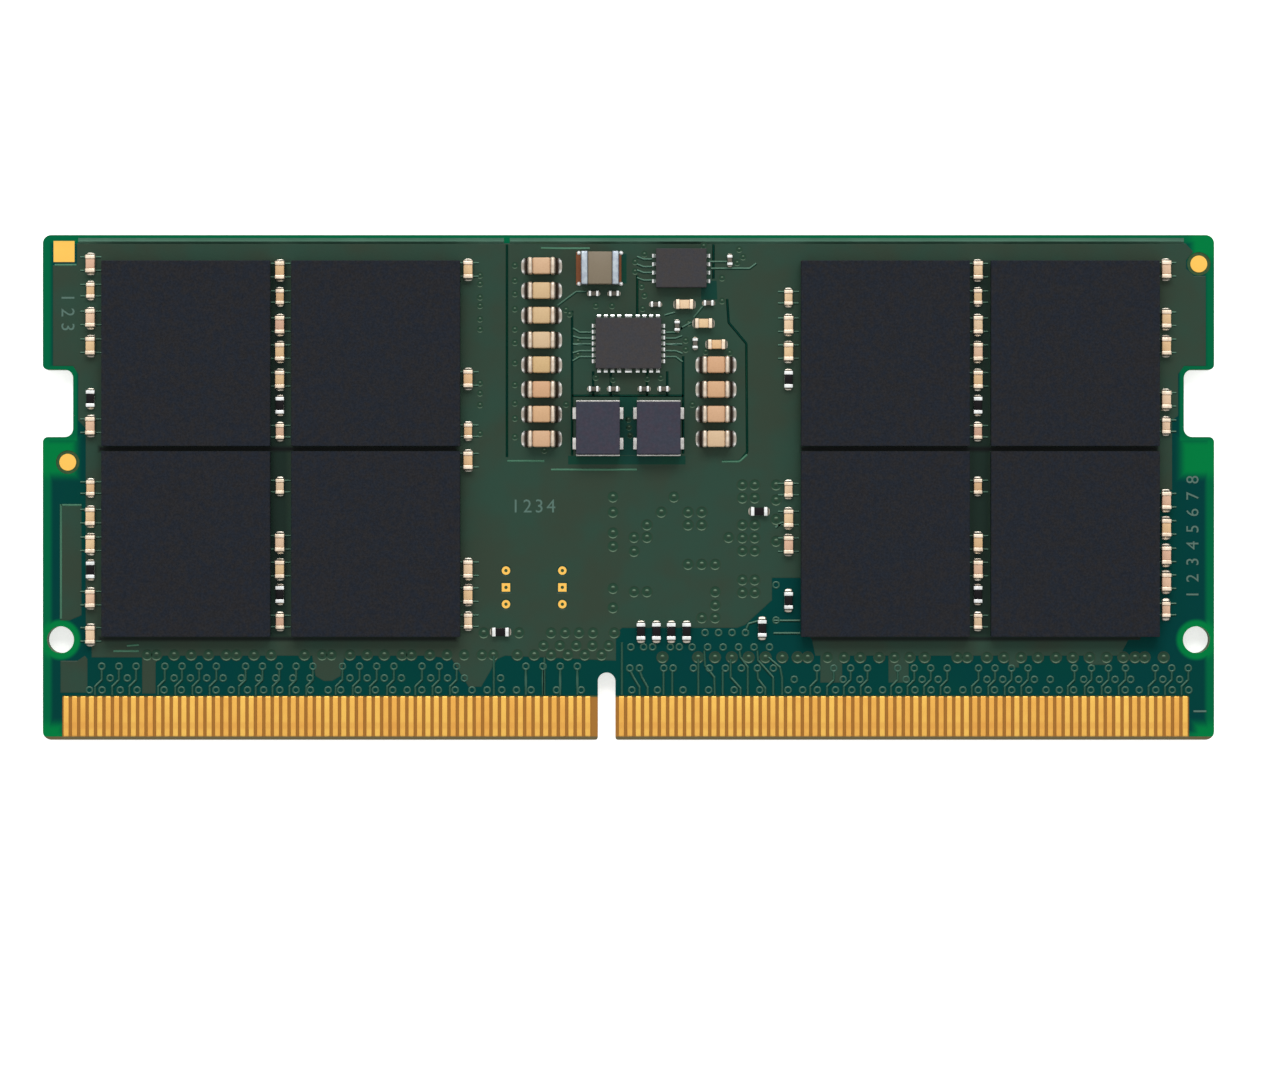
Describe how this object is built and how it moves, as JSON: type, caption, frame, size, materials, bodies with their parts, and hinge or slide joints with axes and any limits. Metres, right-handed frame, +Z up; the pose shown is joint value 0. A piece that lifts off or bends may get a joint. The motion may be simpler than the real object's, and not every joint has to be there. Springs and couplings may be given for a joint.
{
  "type": "memory module",
  "caption": "Single-sided laptop memory module: a thin green notched board with an edge connector, dark square memory packages and a power supply section in the middle.",
  "frame": {"origin": "middle of the underside of the board, at the centre of its length and width", "axes": "+X along the module's length, +Y from the contact edge to the far edge, +Z up from the board to its parts"},
  "size_m": [0.0696, 0.03, 0.0025],
  "materials": {
    "black_glaze": "black protective glaze",
    "brown_ceramic": "grey-brown ceramic",
    "chip_mould": "grey-black moulding compound",
    "copper": "plain copper",
    "gold_plating": "gold plated copper",
    "green_mask": "green solder mask, satin to gloss",
    "inductor_mould": "pressed iron powder, blue-grey",
    "laminate": "woven glass and epoxy, cut edge",
    "memory_mould": "fine grained moulding compound",
    "package_substrate": "thin laminate with green mask",
    "silicon": "ground silicon",
    "solder": "bright tin alloy",
    "tan_ceramic": "tan barium ceramic",
    "tinned_copper": "tin plated copper",
    "tinned_ends": "tin plated end caps, satin",
    "white_ceramic": "alumina"
  },
  "bodies": {
    "root": {"bulk_capacitor_bodies": "tan_ceramic", "bulk_capacitor_ends": "tinned_ends", "bulk_capacitor_solder": "solder", "capacitor_bodies": "tan_ceramic", "capacitor_ends": "tinned_ends", "chip_part_solder": "solder", "contacts_back": "gold_plating", "contacts_front": "gold_plating", "filter_part_body": "brown_ceramic", "filter_part_ends": "tinned_ends", "filter_part_solder": "solder", "ground_plane": "copper", "laminate_back": "laminate", "laminate_core": "laminate", "laminate_front": "laminate", "memory_balls_left": "solder", "memory_balls_right": "solder", "memory_dies": "silicon", "memory_mould_1": "memory_mould", "memory_mould_2": "memory_mould", "memory_mould_3": "memory_mould", "memory_mould_4": "memory_mould", "memory_mould_5": "memory_mould", "memory_mould_6": "memory_mould", "memory_mould_7": "memory_mould", "memory_mould_8": "memory_mould", "memory_substrate_1": "package_substrate", "memory_substrate_2": "package_substrate", "memory_substrate_3": "package_substrate", "memory_substrate_4": "package_substrate", "memory_substrate_5": "package_substrate", "memory_substrate_6": "package_substrate", "memory_substrate_7": "package_substrate", "memory_substrate_8": "package_substrate", "placement_marks": "gold_plating", "power_chip_die": "silicon", "power_chip_lead_frame": "tinned_copper", "power_chip_mould": "chip_mould", "power_chip_solder": "solder", "power_inductor_coils": "copper", "power_inductor_left": "inductor_mould", "power_inductor_right": "inductor_mould", "power_inductor_solder": "solder", "power_inductor_terminals": "tinned_copper", "power_plane": "copper", "resistor_bases": "white_ceramic", "resistor_coats": "black_glaze", "resistor_ends": "tinned_ends", "sensor_hub_die": "silicon", "sensor_hub_lead_frame": "tinned_copper", "sensor_hub_mould": "chip_mould", "sensor_hub_solder": "solder", "small_capacitor_bodies": "tan_ceramic", "small_capacitor_ends": "tinned_ends", "solder_mask_back": "green_mask", "solder_mask_front": "green_mask", "test_pads": "gold_plating", "tiny_part_bodies": "tan_ceramic", "tiny_part_ends": "tinned_ends"}
  },
  "joints": []
}
